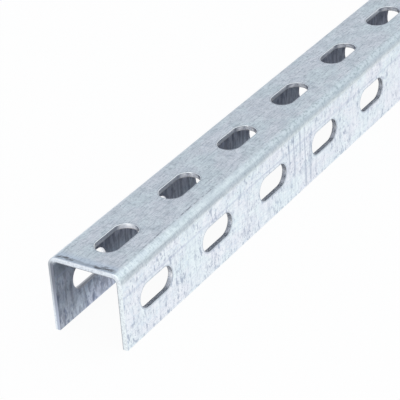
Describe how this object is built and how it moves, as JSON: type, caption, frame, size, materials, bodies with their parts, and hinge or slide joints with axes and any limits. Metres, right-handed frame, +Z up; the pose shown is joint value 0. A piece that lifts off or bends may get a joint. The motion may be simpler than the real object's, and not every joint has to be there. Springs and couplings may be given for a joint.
{
  "type": "u-channel",
  "caption": "Slotted U-channel of galvanised steel sheet: a flat web and two flanges with rounded bends, each pierced by a row of long round-ended slots.",
  "frame": {"origin": "on the floor under the middle of the channel, halfway between the cut ends and the flanges", "axes": "+X along the channel from the cut end nearest the camera to the far end, +Y across it towards the left flange in the picture, +Z up, out of the web's outer face"},
  "size_m": [1, 0.03, 0.03],
  "materials": {
    "galvanised_steel": "galvanised sheet steel, satin, with fine rolling streaks and brighter cut edges"
  },
  "bodies": {
    "root": {"u_channel": "galvanised_steel"}
  },
  "joints": []
}
